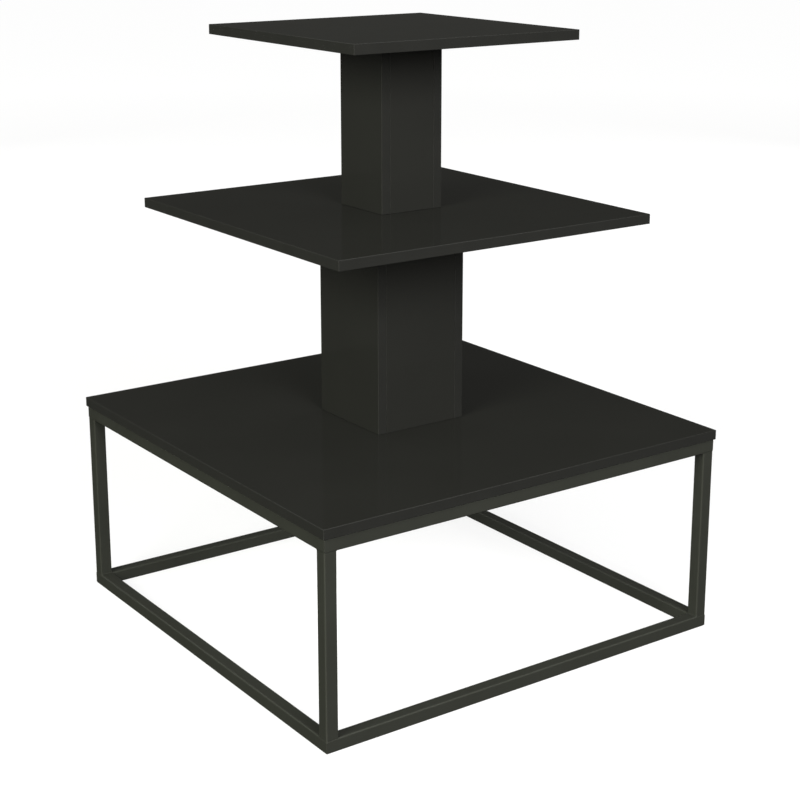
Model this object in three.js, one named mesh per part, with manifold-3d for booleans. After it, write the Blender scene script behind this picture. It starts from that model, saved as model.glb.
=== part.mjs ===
// Three-tier display plinth.
//
// A welded frame of square steel tube stands on the floor and carries a base board. A boxed
// column stands on the base board and carries the middle shelf, and a narrower column on that
// carries the top shelf. Each column is four boards round a hollow, held to the boards above
// and below by cleats inside it, and the base board is held by screws through the frame's top
// rails. Nothing on it moves.
//
// Millimetres, +Z up, origin on the floor at the middle of the plinth. The front faces -Y.

import * as THREE from 'three';
import { mergeVertices } from 'three/addons/utils/BufferGeometryUtils.js';
import Module from 'manifold-3d';

// ---- Driving dimensions ----

const BOARD_THICKNESS = 19;        // every board, in the shelves and in the columns
const BASE_BOARD_SIDE = 900;
const MIDDLE_SHELF_SIDE = 700;
const TOP_SHELF_SIDE = 500;

const LOWER_COLUMN_SIDE = 200;
const LOWER_COLUMN_HEIGHT = 400;
const UPPER_COLUMN_SIDE = 138;
const UPPER_COLUMN_HEIGHT = 322;

const FRAME_HEIGHT = 390;
const BASE_OVERHANG = 3;           // base board past the frame, on each side
const TUBE_SIDE = 25;
const TUBE_WALL = 1.5;
const TUBE_OUTER_RADIUS = 3;
const MITRE_GAP = 0.3;             // between two rails at a mitred corner

const CLEAT_WIDTH = 30;
const CLEAT_HEIGHT = 20;
const CLEAT_END_GAP = 1;           // between a cleat's end and the column board it points at

const SHANK_RADIUS = 2;
const SCREW_HEAD_RADIUS = 4;
const SINK_HEAD_HEIGHT = 2.4;      // countersunk head, flush with the wood
const SINK_HEAD_RIM = 0.4;         // straight edge round a countersunk head
const PAN_HEAD_HEIGHT = 2.8;       // pan head, standing below a rail
const PAN_HEAD_FLAT_RADIUS = 2.8;
const SCREW_TIP_LENGTH = 4;
const SCREW_COVER = 4;             // wood left past a screw's tip
const SCREW_CLEARANCE = 0.3;       // between a screw and its hole, and past its tip
const CLEAT_SCREW_INSET = 30;      // from a cleat's end to the nearer screw
const RAIL_SCREW_INSET = 180;      // from the frame's corner to the nearer screw in a rail

const SCREW_SIDES = 12;
const TUBE_CORNER_STEPS = 3;
const CUT_PAST = 1;                // how far a hole's tool runs past the face it opens

// ---- Places worked out from them ----

const FRAME_SIDE = BASE_BOARD_SIDE - 2 * BASE_OVERHANG;
const FRAME_HALF = FRAME_SIDE / 2;
const RAIL_OFFSET = FRAME_HALF - TUBE_SIDE / 2;
const LEG_HEIGHT = FRAME_HEIGHT - 2 * TUBE_SIDE;

const BASE_BOARD_BOTTOM = FRAME_HEIGHT;
const BASE_BOARD_TOP = BASE_BOARD_BOTTOM + BOARD_THICKNESS;
const MIDDLE_SHELF_BOTTOM = BASE_BOARD_TOP + LOWER_COLUMN_HEIGHT;
const MIDDLE_SHELF_TOP = MIDDLE_SHELF_BOTTOM + BOARD_THICKNESS;
const TOP_SHELF_BOTTOM = MIDDLE_SHELF_TOP + UPPER_COLUMN_HEIGHT;

const CLEAT_SCREW_LENGTH = BOARD_THICKNESS + CLEAT_HEIGHT - SCREW_COVER;
const RAIL_SCREW_LENGTH = TUBE_SIDE + BOARD_THICKNESS - SCREW_COVER;

// ---- Materials ----

const frameSteel = new THREE.MeshStandardMaterial({
  color: 0x45463f,
  roughness: 0.5,
  metalness: 0.2,
});
const blackBoard = new THREE.MeshStandardMaterial({
  color: 0x222220,
  roughness: 0.3,
  metalness: 0,
});
const cleatPine = new THREE.MeshStandardMaterial({
  color: 0xc8a878,
  roughness: 0.7,
  metalness: 0,
});
const screwSteel = new THREE.MeshStandardMaterial({
  color: 0xa8aaac,
  roughness: 0.35,
  metalness: 0.9,
});

// ---- Joining and cutting ----

const wasm = await Module();
wasm.setup();

function toSolid(geometry) {
  const bare = geometry.clone();
  bare.deleteAttribute('normal');
  bare.deleteAttribute('uv');
  const merged = mergeVertices(bare);
  return new wasm.Manifold(new wasm.Mesh({
    numProp: 3,
    vertProperties: merged.getAttribute('position').array,
    triVerts: new Uint32Array(merged.getIndex().array),
  }));
}

function toGeometry(solid) {
  const mesh = solid.getMesh();
  const geometry = new THREE.BufferGeometry();
  geometry.setAttribute('position', new THREE.BufferAttribute(mesh.vertProperties, 3));
  geometry.setIndex(new THREE.BufferAttribute(mesh.triVerts, 1));
  return geometry;
}

// Cuts each of the tools out of a geometry.
function cut(geometry, tools) {
  const solid = tools.reduce((left, tool) => left.subtract(toSolid(tool)), toSolid(geometry));
  return toGeometry(solid);
}

// ---- Scene graph ----

const plinth = new THREE.Group();

function addPiece(name, geometry, material, x, y, z) {
  const piece = new THREE.Mesh(geometry, material);
  piece.name = name;
  piece.position.set(x, y, z);
  plinth.add(piece);
  return piece;
}

// ---- Screws and their holes ----

// A round piece about +Z from its profile of [radius, height] points, starting on the axis.
function turned(profile) {
  const points = profile.map(([radius, height]) => new THREE.Vector2(radius, height));
  return new THREE.LatheGeometry(points, SCREW_SIDES).rotateX(Math.PI / 2);
}

// A countersunk screw pointing up, with the flat of its head at z = 0.
function sinkScrew(length) {
  return turned([
    [0, 0],
    [SCREW_HEAD_RADIUS, 0],
    [SCREW_HEAD_RADIUS, SINK_HEAD_RIM],
    [SHANK_RADIUS, SINK_HEAD_HEIGHT],
    [SHANK_RADIUS, length - SCREW_TIP_LENGTH],
    [0, length],
  ]);
}

// A pan-head screw pointing up, with the seat of its head at z = 0.
function panScrew(length) {
  return turned([
    [0, -PAN_HEAD_HEIGHT],
    [PAN_HEAD_FLAT_RADIUS, -PAN_HEAD_HEIGHT],
    [SCREW_HEAD_RADIUS, -PAN_HEAD_HEIGHT / 2],
    [SCREW_HEAD_RADIUS, 0],
    [SHANK_RADIUS, 0],
    [SHANK_RADIUS, length - SCREW_TIP_LENGTH],
    [0, length],
  ]);
}

// The space for a shank, from one height to another.
function shankHole(x, y, from, to) {
  const radius = SHANK_RADIUS + SCREW_CLEARANCE;
  return new THREE.CylinderGeometry(radius, radius, to - from, SCREW_SIDES)
    .rotateX(Math.PI / 2)
    .translate(x, y, (from + to) / 2);
}

// The space for a countersunk head whose flat is at the given height.
function headSink(x, y, z) {
  return turned([
    [0, -SCREW_CLEARANCE],
    [SCREW_HEAD_RADIUS + SCREW_CLEARANCE, -SCREW_CLEARANCE],
    [SCREW_HEAD_RADIUS + SCREW_CLEARANCE, SINK_HEAD_RIM],
    [SHANK_RADIUS + SCREW_CLEARANCE, SINK_HEAD_HEIGHT],
    [0, SINK_HEAD_HEIGHT],
  ]).translate(x, y, z);
}

// ---- Steel base frame ----

function roundedSquare(shape, side, radius) {
  const half = side / 2;
  const straight = half - radius;
  shape.moveTo(-straight, -half);
  shape.lineTo(straight, -half);
  shape.absarc(straight, -straight, radius, -Math.PI / 2, 0, false);
  shape.lineTo(half, straight);
  shape.absarc(straight, straight, radius, 0, Math.PI / 2, false);
  shape.lineTo(-straight, half);
  shape.absarc(-straight, straight, radius, Math.PI / 2, Math.PI, false);
  shape.lineTo(-half, -straight);
  shape.absarc(-straight, -straight, radius, Math.PI, 1.5 * Math.PI, false);
  return shape;
}

// Square tube along +Z from z = 0, open at both ends.
function squareTube(length) {
  const section = roundedSquare(new THREE.Shape(), TUBE_SIDE, TUBE_OUTER_RADIUS);
  const bore = roundedSquare(
    new THREE.Path(),
    TUBE_SIDE - 2 * TUBE_WALL,
    TUBE_OUTER_RADIUS - TUBE_WALL,
  );
  section.holes.push(bore);
  return new THREE.ExtrudeGeometry(section, {
    depth: length,
    bevelEnabled: false,
    curveSegments: TUBE_CORNER_STEPS,
  });
}

// Rail for the front of the frame, along X and centred on its own middle, with its outer face
// towards -Y and both ends mitred.
function mitredRail() {
  const tube = squareTube(FRAME_SIDE);
  const position = tube.getAttribute('position');
  const endGap = MITRE_GAP / Math.SQRT2;
  for (let i = 0; i < position.count; i++) {
    const fromOuterFace = TUBE_SIDE / 2 - position.getX(i);
    const shortening = fromOuterFace + endGap;
    const atStart = position.getZ(i) < FRAME_HALF;
    position.setZ(i, atStart ? shortening : FRAME_SIDE - shortening);
  }
  const alongX = new THREE.Matrix4().makeBasis(
    new THREE.Vector3(0, -1, 0),
    new THREE.Vector3(0, 0, 1),
    new THREE.Vector3(-1, 0, 0),
  );
  return tube.translate(0, 0, -FRAME_HALF).applyMatrix4(alongX);
}

const railScrewSpots = [-1, 1].map((side) => side * (FRAME_HALF - RAIL_SCREW_INSET));

// A rail that is drilled up through both walls for the base board's screws.
function drilledRail() {
  const holes = railScrewSpots.map((x) => shankHole(x, 0, -TUBE_SIDE, TUBE_SIDE));
  return cut(mitredRail(), holes);
}

// The four sides of the plinth, each with its turn about Z from the front.
const SIDES = [
  { side: 'front', turn: 0 },
  { side: 'right', turn: Math.PI / 2 },
  { side: 'back', turn: Math.PI },
  { side: 'left', turn: -Math.PI / 2 },
];

function addRing(level, geometry, middleHeight) {
  for (const { side, turn } of SIDES) {
    const x = RAIL_OFFSET * Math.sin(turn);
    const y = -RAIL_OFFSET * Math.cos(turn);
    const rail = addPiece(`${level}_rail_${side}`, geometry, frameSteel, x, y, middleHeight);
    rail.rotation.z = turn;
  }
}

const CORNERS = [
  { corner: 'front_left', x: -1, y: -1 },
  { corner: 'front_right', x: 1, y: -1 },
  { corner: 'back_right', x: 1, y: 1 },
  { corner: 'back_left', x: -1, y: 1 },
];

function addLegs() {
  for (const { corner, x, y } of CORNERS) {
    addPiece(
      `leg_${corner}`,
      squareTube(LEG_HEIGHT),
      frameSteel,
      x * RAIL_OFFSET,
      y * RAIL_OFFSET,
      TUBE_SIDE,
    );
  }
}

function addRailScrews() {
  for (const { side, turn } of SIDES) {
    railScrewSpots.forEach((along, index) => {
      const spot = new THREE.Vector3(along, -RAIL_OFFSET, FRAME_HEIGHT - TUBE_SIDE);
      spot.applyAxisAngle(new THREE.Vector3(0, 0, 1), turn);
      const name = `rail_screw_${side}_${index + 1}`;
      addPiece(name, panScrew(RAIL_SCREW_LENGTH), screwSteel, spot.x, spot.y, spot.z);
    });
  }
}

// ---- Cleats inside a column ----

// Each column has a pair of cleats at its foot and a pair at its head. They lie along Y,
// against the inner faces of its left and right boards, with two screws each.
function cleatPlan(columnSide) {
  const innerHalf = columnSide / 2 - BOARD_THICKNESS;
  const length = 2 * (innerHalf - CLEAT_END_GAP);
  return {
    x: innerHalf - CLEAT_WIDTH / 2,
    length,
    screwY: length / 2 - CLEAT_SCREW_INSET,
  };
}

// The screws of a column's pair of cleats, as [x, y] places.
function cleatScrewSpots(columnSide) {
  const { x, screwY } = cleatPlan(columnSide);
  return [[-x, -screwY], [-x, screwY], [x, -screwY], [x, screwY]];
}

function cleatBlock(length) {
  return new THREE.BoxGeometry(CLEAT_WIDTH, length, CLEAT_HEIGHT)
    .translate(0, 0, CLEAT_HEIGHT / 2);
}

// A cleat for the foot of a column: its screws come up through the board that it stands on.
function footCleat({ length, screwY }) {
  const tip = CLEAT_SCREW_LENGTH - BOARD_THICKNESS + SCREW_CLEARANCE;
  const holes = [-screwY, screwY].map((y) => shankHole(0, y, -CUT_PAST, tip));
  return cut(cleatBlock(length), holes);
}

// A cleat for the head of a column: its screws go up through it into the board above.
function headCleat({ length, screwY }) {
  const holes = [-screwY, screwY].flatMap((y) => [
    shankHole(0, y, -CUT_PAST, CLEAT_HEIGHT + CUT_PAST),
    headSink(0, y, 0),
  ]);
  return cut(cleatBlock(length), holes);
}

// The pair of cleats at one end of a column, with the heads of their screws at screwBottom.
function addCleatPair(name, plan, geometry, bottom, screwBottom) {
  for (const [side, sign] of [['left', -1], ['right', 1]]) {
    const x = sign * plan.x;
    addPiece(`${name}_cleat_${side}`, geometry, cleatPine, x, 0, bottom);
    for (const [place, y] of [['front', -plan.screwY], ['back', plan.screwY]]) {
      const screw = sinkScrew(CLEAT_SCREW_LENGTH);
      addPiece(`${name}_screw_${side}_${place}`, screw, screwSteel, x, y, screwBottom);
    }
  }
}

// ---- Columns ----

// Four boards from the given height. The left and right ones are the full width of the column,
// and the front and back ones stand between them.
function addColumn(column, side, height, bottom) {
  const middle = bottom + height / 2;
  const offset = (side - BOARD_THICKNESS) / 2;
  const between = side - 2 * BOARD_THICKNESS;
  const fullBoard = new THREE.BoxGeometry(BOARD_THICKNESS, side, height);
  const innerBoard = new THREE.BoxGeometry(between, BOARD_THICKNESS, height);
  addPiece(`${column}_column_left`, fullBoard, blackBoard, -offset, 0, middle);
  addPiece(`${column}_column_right`, fullBoard, blackBoard, offset, 0, middle);
  addPiece(`${column}_column_front`, innerBoard, blackBoard, 0, -offset, middle);
  addPiece(`${column}_column_back`, innerBoard, blackBoard, 0, offset, middle);
  const plan = cleatPlan(side);
  const headBottom = bottom + height - CLEAT_HEIGHT;
  addCleatPair(`${column}_column_foot`, plan, footCleat(plan), bottom, bottom - BOARD_THICKNESS);
  addCleatPair(`${column}_column_head`, plan, headCleat(plan), headBottom, headBottom);
}

// ---- Boards ----

// A square board from the given height, less the tools.
function addBoard(name, side, bottom, tools) {
  const slab = new THREE.BoxGeometry(side, side, BOARD_THICKNESS)
    .translate(0, 0, bottom + BOARD_THICKNESS / 2);
  addPiece(name, cut(slab, tools), blackBoard, 0, 0, 0);
}

// Holes right through a board, countersunk from below, for the cleats standing on it.
function throughHoles(columnSide, bottom) {
  return cleatScrewSpots(columnSide).flatMap(([x, y]) => [
    shankHole(x, y, bottom - CUT_PAST, bottom + BOARD_THICKNESS + CUT_PAST),
    headSink(x, y, bottom),
  ]);
}

// Holes part way into a board from below, for screws whose tips stop in it.
function blindHoles(spots, bottom) {
  const top = bottom + BOARD_THICKNESS - SCREW_COVER + SCREW_CLEARANCE;
  return spots.map(([x, y]) => shankHole(x, y, bottom - CUT_PAST, top));
}

const railSpots = railScrewSpots.flatMap((along) => [
  [along, -RAIL_OFFSET],
  [along, RAIL_OFFSET],
  [-RAIL_OFFSET, along],
  [RAIL_OFFSET, along],
]);

// ---- Assembly ----

addRing('bottom', mitredRail(), TUBE_SIDE / 2);
addLegs();
addRing('top', drilledRail(), FRAME_HEIGHT - TUBE_SIDE / 2);
addRailScrews();

addBoard('base_board', BASE_BOARD_SIDE, BASE_BOARD_BOTTOM, [
  ...blindHoles(railSpots, BASE_BOARD_BOTTOM),
  ...throughHoles(LOWER_COLUMN_SIDE, BASE_BOARD_BOTTOM),
]);
addColumn('lower', LOWER_COLUMN_SIDE, LOWER_COLUMN_HEIGHT, BASE_BOARD_TOP);

addBoard('middle_shelf', MIDDLE_SHELF_SIDE, MIDDLE_SHELF_BOTTOM, [
  ...blindHoles(cleatScrewSpots(LOWER_COLUMN_SIDE), MIDDLE_SHELF_BOTTOM),
  ...throughHoles(UPPER_COLUMN_SIDE, MIDDLE_SHELF_BOTTOM),
]);
addColumn('upper', UPPER_COLUMN_SIDE, UPPER_COLUMN_HEIGHT, MIDDLE_SHELF_TOP);

addBoard('top_shelf', TOP_SHELF_SIDE, TOP_SHELF_BOTTOM, [
  ...blindHoles(cleatScrewSpots(UPPER_COLUMN_SIDE), TOP_SHELF_BOTTOM),
]);

export default plinth;
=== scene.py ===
# %% [markdown]
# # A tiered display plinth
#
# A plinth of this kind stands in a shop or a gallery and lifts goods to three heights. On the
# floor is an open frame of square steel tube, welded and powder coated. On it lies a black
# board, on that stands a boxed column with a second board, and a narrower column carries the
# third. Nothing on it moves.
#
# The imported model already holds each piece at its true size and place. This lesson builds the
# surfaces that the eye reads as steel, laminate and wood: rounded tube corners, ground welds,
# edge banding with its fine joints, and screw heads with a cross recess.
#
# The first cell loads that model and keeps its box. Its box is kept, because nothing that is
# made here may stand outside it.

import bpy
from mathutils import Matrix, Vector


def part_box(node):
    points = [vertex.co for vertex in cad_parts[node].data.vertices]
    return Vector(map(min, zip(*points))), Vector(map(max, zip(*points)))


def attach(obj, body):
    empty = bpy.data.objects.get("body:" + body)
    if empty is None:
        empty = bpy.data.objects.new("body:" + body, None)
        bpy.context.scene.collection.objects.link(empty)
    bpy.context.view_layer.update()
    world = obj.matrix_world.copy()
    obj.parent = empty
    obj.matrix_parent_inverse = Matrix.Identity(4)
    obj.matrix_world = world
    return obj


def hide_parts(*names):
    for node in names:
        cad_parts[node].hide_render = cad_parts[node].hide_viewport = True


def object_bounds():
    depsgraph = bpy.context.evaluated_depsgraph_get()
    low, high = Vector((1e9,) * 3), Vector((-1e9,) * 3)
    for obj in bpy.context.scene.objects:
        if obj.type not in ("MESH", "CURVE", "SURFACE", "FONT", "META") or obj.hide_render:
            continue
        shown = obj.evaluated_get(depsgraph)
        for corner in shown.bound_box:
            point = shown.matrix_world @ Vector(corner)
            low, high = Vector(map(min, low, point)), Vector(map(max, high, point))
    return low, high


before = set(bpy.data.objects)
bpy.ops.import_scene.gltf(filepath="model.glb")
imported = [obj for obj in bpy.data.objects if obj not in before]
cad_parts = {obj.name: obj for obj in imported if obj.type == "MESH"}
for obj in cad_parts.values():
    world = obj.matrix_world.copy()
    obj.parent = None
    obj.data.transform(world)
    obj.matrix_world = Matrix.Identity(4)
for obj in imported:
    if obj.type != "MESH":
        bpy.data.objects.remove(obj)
cad_low, cad_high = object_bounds()
print("nodes:", len(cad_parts), "box:", tuple(cad_low), tuple(cad_high))

# %% [markdown]
# ## Tools that every piece uses
#
# Each piece is shaped in a bmesh and then becomes one object that rides on the plinth's only
# body, called root. Its place is in its mesh, so its object stays at the origin and a pattern on
# Object coordinates lies still on it.
#
# A drilled hole is cut with a Boolean modifier, which is then applied. The other way, cutting
# the faces round each hole by hand, gives the same shape for far more work.

# %% Making a piece
import math

import bmesh
import bpy
from mathutils import Matrix, Vector

MILLIMETRE = 0.001
SQUARE_ON = 0.999
SAME_POINT = 0.01 * MILLIMETRE
FULL_TURN = math.radians(360)
QUARTER_TURN = math.radians(90)


def new_object(name, bm, material):
    """An object from a finished bmesh, in the plinth's own frame."""
    mesh = bpy.data.meshes.new(name)
    bm.to_mesh(mesh)
    bm.free()
    mesh.materials.append(material)
    made = bpy.data.objects.new(name, mesh)
    bpy.context.scene.collection.objects.link(made)
    return made


def plinth_piece(name, bm, material, slot, *nodes, upright=False):
    """A piece of the plinth that stands for the named CAD nodes."""
    piece = new_object(name, bm, material)
    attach(piece, "root")
    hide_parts(*nodes)
    mark_corners(piece, upright)
    return piece


def block(bm, low, high):
    """Adds a box between two corners and returns its vertices."""
    size = high - low
    place = Matrix.Translation((low + high) / 2) @ Matrix.Diagonal((*size, 1))
    return bmesh.ops.create_cube(bm, size=1, matrix=place)["verts"]


def round_edges(bm, edges, radius, segments):
    """Rounds the given edges to a radius."""
    bmesh.ops.bevel(
        bm,
        geom=edges,
        offset=radius,
        offset_type="OFFSET",
        segments=segments,
        profile=0.5,
        affect="EDGES",
        clamp_overlap=True,
        material=-1,
    )


def cut_away(piece, cutter):
    """Takes the cutter's shape out of a piece and removes the cutter."""
    boolean = piece.modifiers.new("cut", "BOOLEAN")
    boolean.operation = "DIFFERENCE"
    boolean.solver = "EXACT"
    boolean.object = cutter
    shapes = bpy.context.evaluated_depsgraph_get()
    finished = bpy.data.meshes.new_from_object(piece.evaluated_get(shapes))
    piece.modifiers.remove(boolean)
    plain = piece.data
    piece.data = finished
    bpy.data.meshes.remove(plain)
    bpy.data.objects.remove(cutter)


def mark_corners(piece, upright):
    """Stores how near each vertex is to the crest of a rounded corner, from 0 to 1.

    On an upright piece only the corners that run up it count.
    """
    # The stored value masks the painted highlight that the coat and the edge band get on their
    # rounded corners.
    crest = 1 - math.sqrt(0.5)
    mesh = piece.data
    mark = mesh.attributes.new("corner", "FLOAT", "POINT")
    for vertex in mesh.vertices:
        normal = vertex.normal.copy()
        if upright:
            normal.z = 0
            normal.normalize()
        turned_away = 1 - max(abs(part) for part in normal)
        mark.data[vertex.index].value = min(1, turned_away / crest)


# %% [markdown]
# ## How the materials are made
#
# Every finish starts from the Principled shader. Noise on Object coordinates gives it the slow
# drift in colour and gloss and the fine bump that a real surface has. Metres are the unit, so a
# noise scale of 1000 has bumps about a millimetre across.

# %% Material helpers
def node_material(name):
    """An empty node material with its shader, node maker and Object coordinates."""
    material = bpy.data.materials.new(name)
    material.use_nodes = True
    nodes = material.node_tree.nodes
    shader = nodes["Principled BSDF"]
    coordinates = nodes.new("ShaderNodeTexCoord").outputs["Object"]
    return material, shader, coordinates


def noise(material, coordinates, scale, detail, roughness=0.5):
    """A noise pattern of the given scale, as a value from 0 to 1."""
    made = material.node_tree.nodes.new("ShaderNodeTexNoise")
    made.inputs["Scale"].default_value = scale
    made.inputs["Detail"].default_value = detail
    made.inputs["Roughness"].default_value = roughness
    material.node_tree.links.new(coordinates, made.inputs["Vector"])
    return made.outputs["Fac"]


def spread(material, value, low, high, from_low=0.3, from_high=0.7):
    """Maps a value to a range."""
    made = material.node_tree.nodes.new("ShaderNodeMapRange")
    made.inputs["From Min"].default_value = from_low
    made.inputs["From Max"].default_value = from_high
    made.inputs["To Min"].default_value = low
    made.inputs["To Max"].default_value = high
    material.node_tree.links.new(value, made.inputs["Value"])
    return made.outputs["Result"]


def between_colours(material, value, dark, light):
    """Mixes two colours by a value."""
    made = material.node_tree.nodes.new("ShaderNodeMix")
    made.data_type = "RGBA"
    made.inputs["A"].default_value = (*dark, 1)
    made.inputs["B"].default_value = (*light, 1)
    material.node_tree.links.new(value, made.inputs["Factor"])
    return made.outputs["Result"]


def bump(material, height, depth, under=None):
    """Turns a height pattern into a bump of the given depth, on top of another bump if given."""
    made = material.node_tree.nodes.new("ShaderNodeBump")
    made.inputs["Distance"].default_value = depth
    material.node_tree.links.new(height, made.inputs["Height"])
    if under is not None:
        material.node_tree.links.new(under, made.inputs["Normal"])
    return made.outputs["Normal"]


def corner_mark(material):
    """The stored nearness to a rounded corner's crest."""
    made = material.node_tree.nodes.new("ShaderNodeAttribute")
    made.attribute_name = "corner"
    return made.outputs["Fac"]


def paint_corner_highlight(material, colour, pale):
    """Paints a highlight on the rounded corners by blending the colour towards a pale one."""
    made = material.node_tree.nodes.new("ShaderNodeMix")
    made.data_type = "RGBA"
    made.inputs["B"].default_value = (*pale, 1)
    material.node_tree.links.new(colour, made.inputs["A"])
    material.node_tree.links.new(corner_mark(material), made.inputs["Factor"])
    return made.outputs["Result"]


def shaded(colour, share):
    """A colour made darker or lighter by a share."""
    return tuple(channel * share for channel in colour)


def drifting(material, pattern, colour, drift):
    """A colour that drifts by a share to the darker and the lighter side."""
    dark, light = shaded(colour, 1 - drift), shaded(colour, 1 + drift)
    return between_colours(material, spread(material, pattern, 0, 1), dark, light)


# %% [markdown]
# ## Powder coat
#
# The frame is sprayed with dry powder and baked. The film flows into a skin with a fine orange
# peel, about a millimetre from crest to crest, and under it the finer grain of the powder. It is
# satin, not glossy, and its dark grey leans to olive.

# %% Powder coat
COAT_OLIVE_GREY = (0.0191, 0.0198, 0.0165)
# Painted highlight: the colour on the coat's rounded corners is this share of its own colour.
CORNER_HIGHLIGHT_SHARE = 1.35


def powder_coat():
    """Satin olive grey with orange peel and a fine grain, with a painted highlight on the corners.
    """
    material, shader, coordinates = node_material("powder_coat")
    link = material.node_tree.links.new
    colour = drifting(material, noise(material, coordinates, 9, 3), COAT_OLIVE_GREY, 0.06)
    # Painted highlight: the coat is painted paler on its rounded corners.
    colour = paint_corner_highlight(material, colour, shaded(COAT_OLIVE_GREY, CORNER_HIGHLIGHT_SHARE))
    link(colour, shader.inputs["Base Color"])
    patches = noise(material, coordinates, 60, 2)
    link(spread(material, patches, 0.42, 0.50), shader.inputs["Roughness"])
    shader.inputs["Specular IOR Level"].default_value = 0.4
    peel = bump(material, noise(material, coordinates, 900, 2), 0.03 * MILLIMETRE)
    grain = bump(material, noise(material, coordinates, 3200, 2), 0.01 * MILLIMETRE, peel)
    link(grain, shader.inputs["Normal"])
    return material


coat = powder_coat()
print("made", coat.name)

# %% [markdown]
# ## Black laminate and its edge band
#
# The boards are fibreboard pressed between two sheets of black laminate with a smooth, glossy
# skin. It mirrors what stands on it, so the reflections must stay sharp: the roughness is low,
# and only a slow waviness from the fibreboard below bends them. The band that closes each edge
# is extruded plastic, a little lighter and less glossy.

# %% Laminate and edge band
LAMINATE_BLACK = (0.0117, 0.0117, 0.0105)
BAND_BLACK = (0.0118, 0.0118, 0.0108)
# Painted highlight: the colour on the band's rounded arrises is this share of its own colour.
ARRIS_HIGHLIGHT_SHARE = 1.6


def laminate():
    """Smooth black with a slow waviness and patches rubbed duller."""
    material, shader, coordinates = node_material("black_laminate")
    link = material.node_tree.links.new
    colour = drifting(material, noise(material, coordinates, 5, 4), LAMINATE_BLACK, 0.04)
    link(colour, shader.inputs["Base Color"])
    rubbed = noise(material, coordinates, 14, 5, 0.6)
    link(spread(material, rubbed, 0.07, 0.12), shader.inputs["Roughness"])
    wave = bump(material, noise(material, coordinates, 45, 1), 0.01 * MILLIMETRE)
    link(wave, shader.inputs["Normal"])
    return material


def edge_band():
    """Black plastic, a little duller than the laminate, with a painted highlight on its rounded
    arrises.
    """
    material, shader, coordinates = node_material("black_edge_band")
    link = material.node_tree.links.new
    cloud = noise(material, coordinates, 20, 3)
    colour = drifting(material, cloud, BAND_BLACK, 0.05)
    # Painted highlight: the band is painted paler on its rounded arrises.
    colour = paint_corner_highlight(material, colour, shaded(BAND_BLACK, ARRIS_HIGHLIGHT_SHARE))
    link(colour, shader.inputs["Base Color"])
    link(spread(material, cloud, 0.16, 0.22), shader.inputs["Roughness"])
    grain = bump(material, noise(material, coordinates, 1500, 2), 0.01 * MILLIMETRE)
    link(grain, shader.inputs["Normal"])
    return material


board_face = laminate()
board_edge = edge_band()
print("made", board_face.name, "and", board_edge.name)

# %% [markdown]
# ## Pine and zinc
#
# The cleats inside the columns are planed pine. The growth rings of a batten are nearly
# straight lines along it, so the grain is a wave pattern stretched along Y, the way the cleats
# lie, and bent a little by noise. The screws are steel with bright zinc on it.

# %% Pine and zinc
PINE_PALE = (0.62, 0.44, 0.25)
PINE_DARK = (0.42, 0.25, 0.11)
ZINC = (0.55, 0.56, 0.58)


def pine():
    """Pale wood with its rings drawn out along Y."""
    material, shader, coordinates = node_material("planed_pine")
    nodes = material.node_tree.nodes
    link = material.node_tree.links.new
    along_y = nodes.new("ShaderNodeMapping")
    along_y.inputs["Scale"].default_value = (1, 0.06, 1)
    link(coordinates, along_y.inputs["Vector"])
    rings = nodes.new("ShaderNodeTexWave")
    rings.wave_type = "RINGS"
    rings.rings_direction = "Y"
    rings.inputs["Scale"].default_value = 110
    rings.inputs["Distortion"].default_value = 6
    rings.inputs["Detail"].default_value = 3
    link(along_y.outputs["Vector"], rings.inputs["Vector"])
    link(
        between_colours(material, rings.outputs["Fac"], PINE_PALE, PINE_DARK),
        shader.inputs["Base Color"],
    )
    fibres = noise(material, along_y.outputs["Vector"], 2500, 3)
    link(spread(material, fibres, 0.55, 0.75), shader.inputs["Roughness"])
    link(bump(material, fibres, 0.05 * MILLIMETRE), shader.inputs["Normal"])
    return material


def zinc():
    """Bright metal with fine spots."""
    material, shader, coordinates = node_material("zinc_plate")
    link = material.node_tree.links.new
    shader.inputs["Metallic"].default_value = 1
    spots = noise(material, coordinates, 700, 3)
    share = spread(material, spots, 0, 1)
    link(
        between_colours(material, share, shaded(ZINC, 0.85), ZINC),
        shader.inputs["Base Color"],
    )
    link(spread(material, spots, 0.24, 0.4), shader.inputs["Roughness"])
    link(bump(material, spots, 0.01 * MILLIMETRE), shader.inputs["Normal"])
    return material


cleat_wood = pine()
screw_zinc = zinc()
print("made", cleat_wood.name, "and", screw_zinc.name)

# %% [markdown]
# ## The welded rings
#
# The frame is 25 mm square tube with a 3 mm corner radius. Four lengths are mitred and welded
# into a ring, one on the floor and one under the board, and the welds are ground flush before
# the coat goes on. Four separate rails would show a gap at each mitre that the real ring
# doesn't have.
#
# So a ring is one piece. A rounded square stands in the mitre plane of one corner and is spun
# round the plinth's centre in only four steps, and each step draws one straight rail. The mitre
# plane cuts the tube at 45 degrees, so the section is stretched by the square root of two along
# the diagonal. The inside of the tube can't be seen from anywhere, so only the skin is made.

# %% Tube rings
TUBE_RADIUS = 3 * MILLIMETRE
TUBE_CORNER_SEGMENTS = 6
GROUND_RADIUS = 0.8 * MILLIMETRE
GROUND_SEGMENTS = 3


def tube_outline(bm, side):
    """Adds a square with rounded corners round the origin, facing up, and returns its face."""
    made = bmesh.ops.create_grid(bm, x_segments=1, y_segments=1, size=side / 2)
    bmesh.ops.bevel(
        bm,
        geom=made["verts"],
        offset=TUBE_RADIUS,
        offset_type="OFFSET",
        segments=TUBE_CORNER_SEGMENTS,
        profile=0.5,
        affect="VERTICES",
        material=-1,
    )
    return bm.faces[:]


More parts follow.
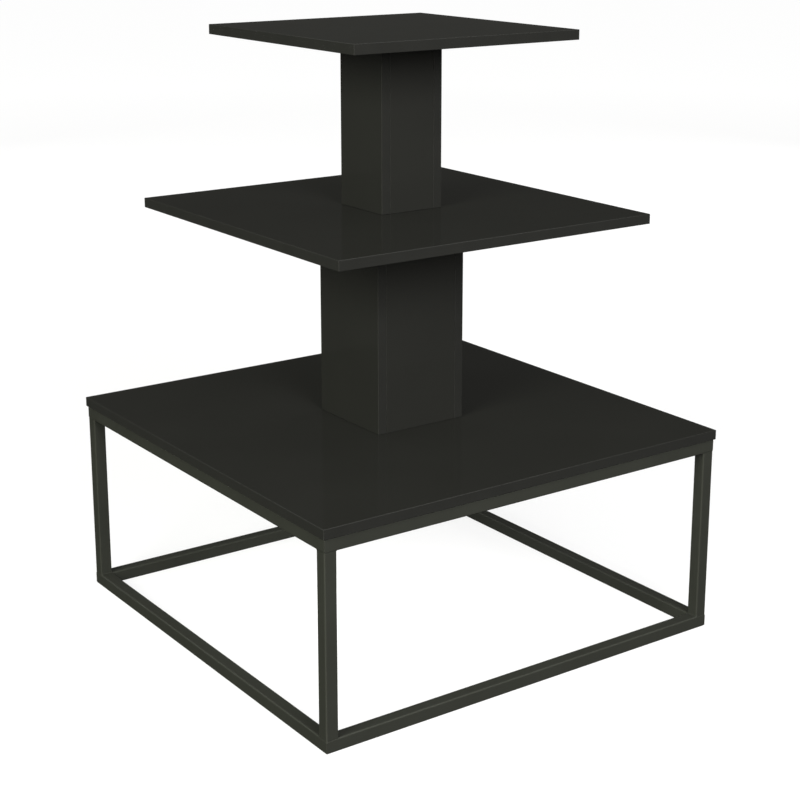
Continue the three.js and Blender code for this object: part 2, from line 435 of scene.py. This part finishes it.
def welded_ring(name, rails):
    """A ring of four mitred rails, with its corners ground to a small radius."""
    low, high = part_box(rails[0])
    side = high.z - low.z
    ring_half = -low.y - side / 2
    bm = bmesh.new()
    outline = tube_outline(bm, side)
    upright = Matrix.Rotation(QUARTER_TURN, 4, "X")
    stretched = Matrix.Diagonal((math.sqrt(2), 1, 1, 1))
    to_corner = Matrix.Rotation(-QUARTER_TURN / 2, 4, "Z")
    corner_distance = ring_half * math.sqrt(2)
    place = (
        to_corner
        @ Matrix.Translation((corner_distance, 0, (low.z + high.z) / 2))
        @ upright
        @ stretched
    )
    bmesh.ops.transform(bm, matrix=place, verts=bm.verts)
    bmesh.ops.spin(
        bm,
        geom=bm.edges[:],
        axis=(0, 0, 1),
        cent=(0, 0, 0),
        angle=FULL_TURN,
        steps=len(rails),
        use_merge=True,
    )
    bmesh.ops.delete(bm, geom=outline, context="FACES_ONLY")
    bmesh.ops.remove_doubles(bm, verts=bm.verts, dist=SAME_POINT)
    mitres = [edge for edge in bm.edges if edge.calc_length() < side]
    round_edges(bm, mitres, GROUND_RADIUS, GROUND_SEGMENTS)
    bmesh.ops.recalc_face_normals(bm, faces=bm.faces)
    ring = plinth_piece(name, bm, coat, "frame_steel", *rails)
    print(name, "faces:", len(ring.data.polygons), "tube:", round(side / MILLIMETRE), "mm")


SIDES = ("front", "right", "back", "left")
welded_ring("bottom_ring", [f"bottom_rail_{side}" for side in SIDES])
welded_ring("top_ring", [f"top_rail_{side}" for side in SIDES])

# %% [markdown]
# ## The legs and their welds
#
# A leg stands on the corner of the bottom ring, with its two outer sides flush with the rails.
# There the bead is ground down to a faint line. The two inner sides keep their bead, a small
# hollow fillet that the coat has softened.
#
# A separate bead would have to be fitted to the leg. Here the leg's own outline makes it: near
# each end the outline grows a little about the leg's outer corner, so the outer sides stay where
# they are and the inner sides flare out into the fillet.

# %% Legs
BEAD = 1.2 * MILLIMETRE
BEAD_STEPS = 5
SEAM_DEPTH = 0.8 * MILLIMETRE


def flare_stations(bottom, top):
    """Heights up a leg and how far its inner sides stand out there."""
    quarter = [QUARTER_TURN * step / BEAD_STEPS for step in range(BEAD_STEPS + 1)]
    fillet = [(BEAD * (1 - math.cos(a)), BEAD * (1 - math.sin(a))) for a in quarter]
    foot = [(bottom + rise, flare) for rise, flare in fillet]
    head = [(top - rise, flare) for rise, flare in reversed(fillet)]
    return [(bottom - SEAM_DEPTH, BEAD)] + foot + head + [(top + SEAM_DEPTH, BEAD)]


def leg(name):
    """A leg with a ground seam outside and a welded fillet inside, at both ends."""
    low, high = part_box(name)
    middle = (low + high) / 2
    side = high.x - low.x
    outward = Vector((math.copysign(1, middle.x), math.copysign(1, middle.y), 0))
    outer_corner = Vector((middle.x, middle.y, 0)) + outward * side / 2
    stations = flare_stations(low.z, high.z)
    bm = bmesh.new()
    section = tube_outline(bm, side)
    start = Vector((middle.x, middle.y, stations[0][0]))
    bmesh.ops.translate(bm, vec=start, verts=bm.verts)
    about_corner = Matrix.Translation(-outer_corner)
    growth = (side + BEAD) / side
    bmesh.ops.scale(bm, vec=(growth, growth, 1), space=about_corner, verts=bm.verts)
    height, width = stations[0][0], side + BEAD
    for next_height, flare in stations[1:]:
        grown = bmesh.ops.extrude_face_region(bm, geom=section)["geom"]
        rim = [item for item in grown if isinstance(item, bmesh.types.BMVert)]
        section = [item for item in grown if isinstance(item, bmesh.types.BMFace)]
        bmesh.ops.translate(bm, vec=(0, 0, next_height - height), verts=rim)
        growth = (side + flare) / width
        bmesh.ops.scale(bm, vec=(growth, growth, 1), space=about_corner, verts=rim)
        height, width = next_height, side + flare
    bmesh.ops.recalc_face_normals(bm, faces=bm.faces)
    made = plinth_piece(name + "_tube", bm, coat, "frame_steel", name, upright=True)
    print(made.name, "height:", round(made.dimensions.z / MILLIMETRE, 1), "mm")


for corner in ("front_left", "front_right", "back_right", "back_left"):
    leg(f"leg_{corner}")

# %% [markdown]
# ## The three boards
#
# Each board is a laminated panel with a plastic band round its edge. The band is a millimetre
# and a half thick, and its arrises are scraped to a small round, which catches a fine bright line
# along the top. On that round the band is also painted paler, a painted highlight that
# strengthens the line. Where band meets laminate there is a hairline joint.
#
# One mesh does all of it. The block's edges are rounded first. Then an inset on each broad face
# marks the band's thickness, and two more insets, one down and one up again, sink the joint.

# %% Boards
BAND_THICKNESS = 1.6 * MILLIMETRE
SCRAPED_RADIUS = 1.0 * MILLIMETRE
SCRAPED_SEGMENTS = 4
JOINT_HALF_WIDTH = 0.12 * MILLIMETRE
JOINT_DEPTH = 0.1 * MILLIMETRE


def banded_board(node):
    """A panel with banded edges and a hairline joint round both broad faces."""
    low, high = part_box(node)
    bm = bmesh.new()
    block(bm, low, high)
    round_edges(bm, bm.edges[:], SCRAPED_RADIUS, SCRAPED_SEGMENTS)
    panel = [face for face in bm.faces if abs(face.normal.z) > SQUARE_ON]
    for to_inset, depth in (
        (BAND_THICKNESS - SCRAPED_RADIUS, 0),
        (JOINT_HALF_WIDTH, -JOINT_DEPTH),
        (JOINT_HALF_WIDTH, JOINT_DEPTH),
    ):
        bmesh.ops.inset_region(bm, faces=panel, thickness=to_inset, depth=depth)
    for face in bm.faces:
        face.material_index = 1
    for face in panel:
        face.material_index = 0
    board = plinth_piece(node + "_panel", bm, board_face, "black_board", node)
    board.data.materials.append(board_edge)
    width, depth, thickness = (high - low) / MILLIMETRE
    print(board.name, round(width), "x", round(depth), "x", round(thickness), "mm")
    return board


base = banded_board("base_board")
middle = banded_board("middle_shelf")
banded_board("top_shelf")

# %% [markdown]
# ## The columns
#
# A column is a box of four boards. The left and right ones run the full width and the front and
# back ones stand between them, so the front shows two narrow board edges with a joint line next
# to each.
#
# Every edge of a column board is scraped to the same small round. At a corner of the column that
# catches one fine bright line, and where two boards meet flush it leaves a fine groove. On each
# round the band is also painted paler, a painted highlight that strengthens these lines. Leaving
# the joint edges sharp would be simpler, but then the joint would not show at all.

# %% Columns
def column_board(node):
    """One board of a column, with laminate on its two broad faces and band on the others."""
    low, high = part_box(node)
    bm = bmesh.new()
    block(bm, low, high)
    round_edges(bm, bm.edges[:], SCRAPED_RADIUS, SCRAPED_SEGMENTS)
    broad = Vector((1, 0, 0)) if high.y - low.y > high.x - low.x else Vector((0, 1, 0))
    for face in bm.faces:
        if abs(face.normal.dot(broad)) < SQUARE_ON:
            face.material_index = 1
    name = node + "_panel"
    board = plinth_piece(name, bm, board_face, "black_board", node, upright=True)
    board.data.materials.append(board_edge)


for column in ("lower_column", "upper_column"):
    for side in SIDES:
        column_board(f"{column}_{side}")
    column_width = 2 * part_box(f"{column}_right")[1].x
    print(column, "is", round(column_width / MILLIMETRE), "mm wide")

# %% [markdown]
# ## The screws
#
# Two screws a side come up through the top rails and hold the base board down: their pan heads
# hang just under the rails. The columns are screwed through the board below them into a pine
# cleat, with countersunk heads flush in the board.
#
# A screw is a turned part, so half its outline is spun round its axis. The shank is plain: a cut
# thread would be hidden in the wood. A cross is then cut into the head with two tapered blades.

# %% Screws
TURNED_STEPS = 32
SHANK_RADIUS = 2 * MILLIMETRE
HEAD_RADIUS = 4 * MILLIMETRE
POINT_LENGTH = 4 * MILLIMETRE
PAN_HEIGHT = 2.8 * MILLIMETRE
PAN_FLAT_RADIUS = 2.2 * MILLIMETRE
DOME_SHARE = 0.8
DOME_STEPS = 6
SINK_HEIGHT = 2.4 * MILLIMETRE
SINK_RIM = 0.4 * MILLIMETRE
RECESS_REACH = 2.1 * MILLIMETRE
RECESS_WIDTH = 0.9 * MILLIMETRE
RECESS_DEPTH = 1.6 * MILLIMETRE
RECESS_TAPER = (0.45, 0.7, 1)


def turned(outline):
    """Spins half an outline, given as radius and height, into a closed solid."""
    bm = bmesh.new()
    points = [bm.verts.new((radius, 0, height)) for radius, height in outline]
    for start, end in zip(points, points[1:]):
        bm.edges.new((start, end))
    bmesh.ops.spin(
        bm,
        geom=bm.edges[:] + bm.verts[:],
        axis=(0, 0, 1),
        cent=(0, 0, 0),
        angle=FULL_TURN,
        steps=TURNED_STEPS,
        use_merge=True,
    )
    bmesh.ops.remove_doubles(bm, verts=bm.verts, dist=SAME_POINT / 2)
    bmesh.ops.recalc_face_normals(bm, faces=bm.faces)
    return bm


def pan_outline(length):
    """Half the outline of a pan-head screw that points up from height 0."""
    dome = [
        (PAN_FLAT_RADIUS + (HEAD_RADIUS - PAN_FLAT_RADIUS) * math.sin(turn),
         PAN_HEIGHT * DOME_SHARE * (1 - math.cos(turn)))
        for turn in (QUARTER_TURN * step / DOME_STEPS for step in range(DOME_STEPS + 1))
    ]
    shank = [
        (HEAD_RADIUS, PAN_HEIGHT),
        (SHANK_RADIUS, PAN_HEIGHT),
        (SHANK_RADIUS, length - POINT_LENGTH),
        (0, length),
    ]
    return [(0, 0)] + dome + shank


def sink_outline(length):
    """Half the outline of a countersunk screw that points up from height 0."""
    return [
        (0, 0),
        (HEAD_RADIUS, 0),
        (HEAD_RADIUS, SINK_RIM),
        (SHANK_RADIUS, SINK_HEIGHT),
        (SHANK_RADIUS, length - POINT_LENGTH),
        (0, length),
    ]


def single_blade(turn):
    """One tapered blade of the cross, turned about the screw's axis."""
    bm = bmesh.new()
    low = Vector((-RECESS_REACH, -RECESS_WIDTH / 2, -RECESS_WIDTH / 2))
    high = Vector((RECESS_REACH, RECESS_WIDTH / 2, RECESS_DEPTH))
    blade = block(bm, low, high)
    tip = [vertex for vertex in blade if vertex.co.z > 0]
    bmesh.ops.scale(bm, vec=RECESS_TAPER, verts=tip)
    bmesh.ops.rotate(bm, matrix=Matrix.Rotation(turn, 3, "Z"), verts=blade)
    return bm


def screw_mesh(name, outline):
    """A turned screw with its cross recess, pointing up from the origin."""
    body = new_object(name, turned(outline), screw_zinc)
    for turn in (0, QUARTER_TURN):
        cutter = new_object("blade", single_blade(turn), screw_zinc)
        cut_away(body, cutter)
    made = body.data
    bpy.data.objects.remove(body)
    return made


def screw_length(name):
    """How long a CAD screw is."""
    low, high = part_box(name)
    return high.z - low.z


def to_screw(name):
    """Moves a screw made at the origin to the foot of a CAD screw."""
    low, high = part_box(name)
    middle = (low + high) / 2
    return Matrix.Translation((middle.x, middle.y, low.z))


def place_screws(names, pattern):
    """Puts a copy of a screw where each named CAD screw is."""
    for name in names:
        piece = bpy.data.objects.new(name + "_turned", pattern.copy())
        piece.data.transform(to_screw(name))
        bpy.context.scene.collection.objects.link(piece)
        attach(piece, "root")
        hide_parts(name)


rail_screws = sorted(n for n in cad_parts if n.startswith("rail_screw"))
board_screws = sorted(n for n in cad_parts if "column" in n and "screw" in n)

pan_screw = screw_mesh("pan_screw", pan_outline(screw_length(rail_screws[0])))
sunk_screw = screw_mesh("sunk_screw", sink_outline(screw_length(board_screws[0])))
place_screws(rail_screws, pan_screw)
place_screws(board_screws, sunk_screw)
bpy.data.meshes.remove(pan_screw)
bpy.data.meshes.remove(sunk_screw)
print("screws:", len(rail_screws), "pan head and", len(board_screws), "countersunk")

# %% [markdown]
# ## Countersunk holes
#
# The four screws under the base board, and the four under the middle shelf, sit in holes with a
# conical seat. A cutter with the screw's own outline, grown by a little clearance, makes the
# hole and its seat in one cut, so head and seat always match.

# %% Countersinks
HOLE_CLEARANCE = 0.25 * MILLIMETRE
DRILL_START = -1 * MILLIMETRE


def countersink(board, names):
    """Cuts a hole with a conical seat for each named screw."""
    for name in names:
        outline = [
            (radius + HOLE_CLEARANCE if radius else 0, height)
            for radius, height in sink_outline(screw_length(name))
        ]
        outline[0] = (0, DRILL_START)
        outline[1] = (outline[1][0], DRILL_START)
        cutter = new_object("drill", turned(outline), board_face)
        cutter.data.transform(to_screw(name))
        cut_away(board, cutter)
    print(board.name, "drilled for", len(names), "screws")


countersink(base, [name for name in board_screws if name.startswith("lower_column_foot")])
countersink(middle, [name for name in board_screws if name.startswith("upper_column_foot")])

# %% [markdown]
# ## The cleats
#
# The pine cleats are closed in by the column boards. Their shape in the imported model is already
# right, holes included, so they stay as they are and only get their wood.

# %% Cleats
cleats = [node for name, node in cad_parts.items() if "cleat" in name]
for cleat in cleats:
    cleat.data.materials.clear()
    cleat.data.materials.append(cleat_wood)
print("cleats given pine:", len(cleats))

# %% [markdown]
# ## The floor
#
# A black thing shows its shape by what it mirrors, so floor, light and room are planned round the
# mirror in the boards. The floor is pale and plain. It takes the plinth's soft shadow, but it
# doesn't show in the mirror, where it would drown the black.
#
# Soft boxes light a floor less the farther it runs, and a level view would then show a grey band
# at the horizon. A faint glow of its own, a little stronger with distance, keeps it even.

# %% Floor
FLOOR_REACH = 60
FLOOR_WHITE = (0.16, 0.16, 0.159)
GLOW_NEAR = 0.80
GLOW_FAR = 0.95
GLOW_RISES = (2, 9)


def floor_material():
    """Pale and even: it glows more with distance, where the soft boxes reach less."""
    material, shader, coordinates = node_material("studio_floor")
    link = material.node_tree.links.new
    mottle = noise(material, coordinates, 3, 3)
    share = spread(material, mottle, 0, 1)
    colour = between_colours(material, share, shaded(FLOOR_WHITE, 0.97), FLOOR_WHITE)
    link(colour, shader.inputs["Base Color"])
    shader.inputs["Roughness"].default_value = 0.9
    shader.inputs["Specular IOR Level"].default_value = 0
    shader.inputs["Emission Color"].default_value = (1, 1, 1, 1)
    distance = material.node_tree.nodes.new("ShaderNodeVectorMath")
    distance.operation = "LENGTH"
    link(coordinates, distance.inputs["Vector"])
    glow = spread(material, distance.outputs["Value"], GLOW_NEAR, GLOW_FAR, *GLOW_RISES)
    link(glow, shader.inputs["Emission Strength"])
    return material


floor_bm = bmesh.new()
bmesh.ops.create_grid(floor_bm, x_segments=2, y_segments=2, size=FLOOR_REACH)
floor = new_object("studio_floor", floor_bm, floor_material())
floor.visible_glossy = False
floor.visible_diffuse = False
print("floor:", 2 * FLOOR_REACH, "m square")

# %% [markdown]
# ## Soft light
#
# Two big soft boxes stand on the camera's side, one for the front and one for the left faces, and
# two weaker ones light the other sides. They stand low enough to reach the column below each
# board, and high enough for the board to shade the column's top, which shows how far it sticks
# out. A wide light overhead does the tops.
#
# None of these shows in the gloss. Two faint boxes do: they draw the pale patch that tells a
# glossy board from a matt one. A small lamp under the base board lifts the inner faces of the
# rails and legs, as a white card on a studio floor would.

# %% Lights
SOFT_BOX_DISTANCE = 6.0
SOFT_BOX_SIZE = 3.2
PLAIN = (1.0, 1.0, 1.0)
LEFT_TINT = (1.0, 1.03, 0.91)
UNDER_LAMP_SIZE = 0.12
UNDER_LAMP_POWER = 5.5
UNDER_LAMP_HEIGHT = 0.1
OVERHEAD_SPREAD = 80
OVERHEAD_STRENGTH = 0.5

SOFT_BOXES = {
    # name: azimuth (0 is the front, 90 the right), elevation, power, tint, shows in gloss
    "left_box": (-72, 23, 665, LEFT_TINT, False),
    "front_box": (-8, 23, 670, PLAIN, False),
    "right_box": (100, 5, 380, PLAIN, False),
    "back_box": (188, 5, 240, PLAIN, False),
    "front_sheen": (38, 44, 18, PLAIN, True),
    "back_sheen": (-148, 44, 18, PLAIN, True),
}


def lamp_object(name, kind, power):
    """A lamp that the camera doesn't see."""
    light = bpy.data.objects.new(name, bpy.data.lights.new(name, kind))
    light.data.energy = power
    light.visible_camera = False
    bpy.context.scene.collection.objects.link(light)
    return light


def soft_box(name, azimuth, elevation, power, tint, in_gloss):
    """A round soft box that faces the middle of the plinth."""
    light = lamp_object(name, "AREA", power)
    light.data.shape = "DISK"
    light.data.size = SOFT_BOX_SIZE
    light.data.color = tint
    middle = Matrix.Translation((0, 0, cad_high.z / 2))
    turn = Matrix.Rotation(math.radians(azimuth), 4, "Z")
    tilt = Matrix.Rotation(math.radians(90 - elevation), 4, "X")
    away = Matrix.Translation((0, 0, SOFT_BOX_DISTANCE))
    light.matrix_world = middle @ turn @ tilt @ away
    light.visible_glossy = in_gloss


for name, settings in SOFT_BOXES.items():
    soft_box(name, *settings)

overhead = lamp_object("overhead", "SUN", OVERHEAD_STRENGTH)
overhead.data.angle = math.radians(OVERHEAD_SPREAD)
under_board = lamp_object("under_board", "POINT", UNDER_LAMP_POWER)
under_board.data.shadow_soft_size = UNDER_LAMP_SIZE
under_board.location.z = UNDER_LAMP_HEIGHT
under_board.visible_glossy = False

# %% [markdown]
# ## The dim room
#
# Behind everything is a white backdrop, but only for the camera. The gloss sees a dim room
# instead, or the boards would mirror white and look grey. The room is lightest low down, as the
# far wall of a hall is. The top shelf is seen at the flattest angle and mirrors that low part,
# so it comes out lighter than the two boards below it.

# %% Room
ROOM_LOW = (0.045, 0.045, 0.041)
ROOM_HIGH = (0.032, 0.032, 0.029)
BACKDROP = (0.97, 0.97, 0.97, 1)
DIMMING_STARTS = 0.08
DIMMING_ENDS = 0.19


def studio_world():
    """White to the camera and a dim room to everything else."""
    world = bpy.data.worlds.new("studio")
    bpy.context.scene.world = world
    world.use_nodes = True
    nodes = world.node_tree.nodes
    link = world.node_tree.links.new
    direction = nodes.new("ShaderNodeSeparateXYZ")
    link(nodes.new("ShaderNodeTexCoord").outputs["Generated"], direction.inputs["Vector"])
    share = spread(world, direction.outputs["Z"], 0, 1, DIMMING_STARTS, DIMMING_ENDS)
    room = between_colours(world, share, ROOM_LOW, ROOM_HIGH)
    seen = nodes.new("ShaderNodeMix")
    seen.data_type = "RGBA"
    seen.inputs["B"].default_value = BACKDROP
    link(room, seen.inputs["A"])
    link(nodes.new("ShaderNodeLightPath").outputs["Is Camera Ray"], seen.inputs["Factor"])
    link(seen.outputs["Result"], nodes["Background"].inputs["Color"])
    return world


room = studio_world()
bpy.context.scene.view_settings.view_transform = "Standard"
print("world:", room.name)

# %% [markdown]
# ## The camera
#
# The view is from the front left corner, about a quarter of a metre above the top shelf, and looks
# down by about fifteen degrees. A small vertical shift of the lens lets the camera tilt less,
# which keeps the legs and columns closer to upright. A larger shift would keep them fully
# upright, but it would push the plinth out of the picture from other sides.

# %% Camera
CAMERA_PLACE = Vector((-1.841, -2.634, 1.436))
CAMERA_TURN = 35.26
CAMERA_DIP = 14.58
CAMERA_LENS = 76.19
PICTURE_SHIFT = -0.1

lens = bpy.data.cameras.new("camera")
lens.lens = CAMERA_LENS
lens.shift_y = PICTURE_SHIFT
lens.clip_end = 200
camera = bpy.data.objects.new("camera", lens)
camera.location = CAMERA_PLACE
camera.rotation_euler = (math.radians(90 - CAMERA_DIP), 0, math.radians(-CAMERA_TURN))
bpy.context.scene.collection.objects.link(camera)
bpy.context.scene.camera = camera
print("camera stands", round(CAMERA_PLACE.length, 2), "m from the plinth's foot")
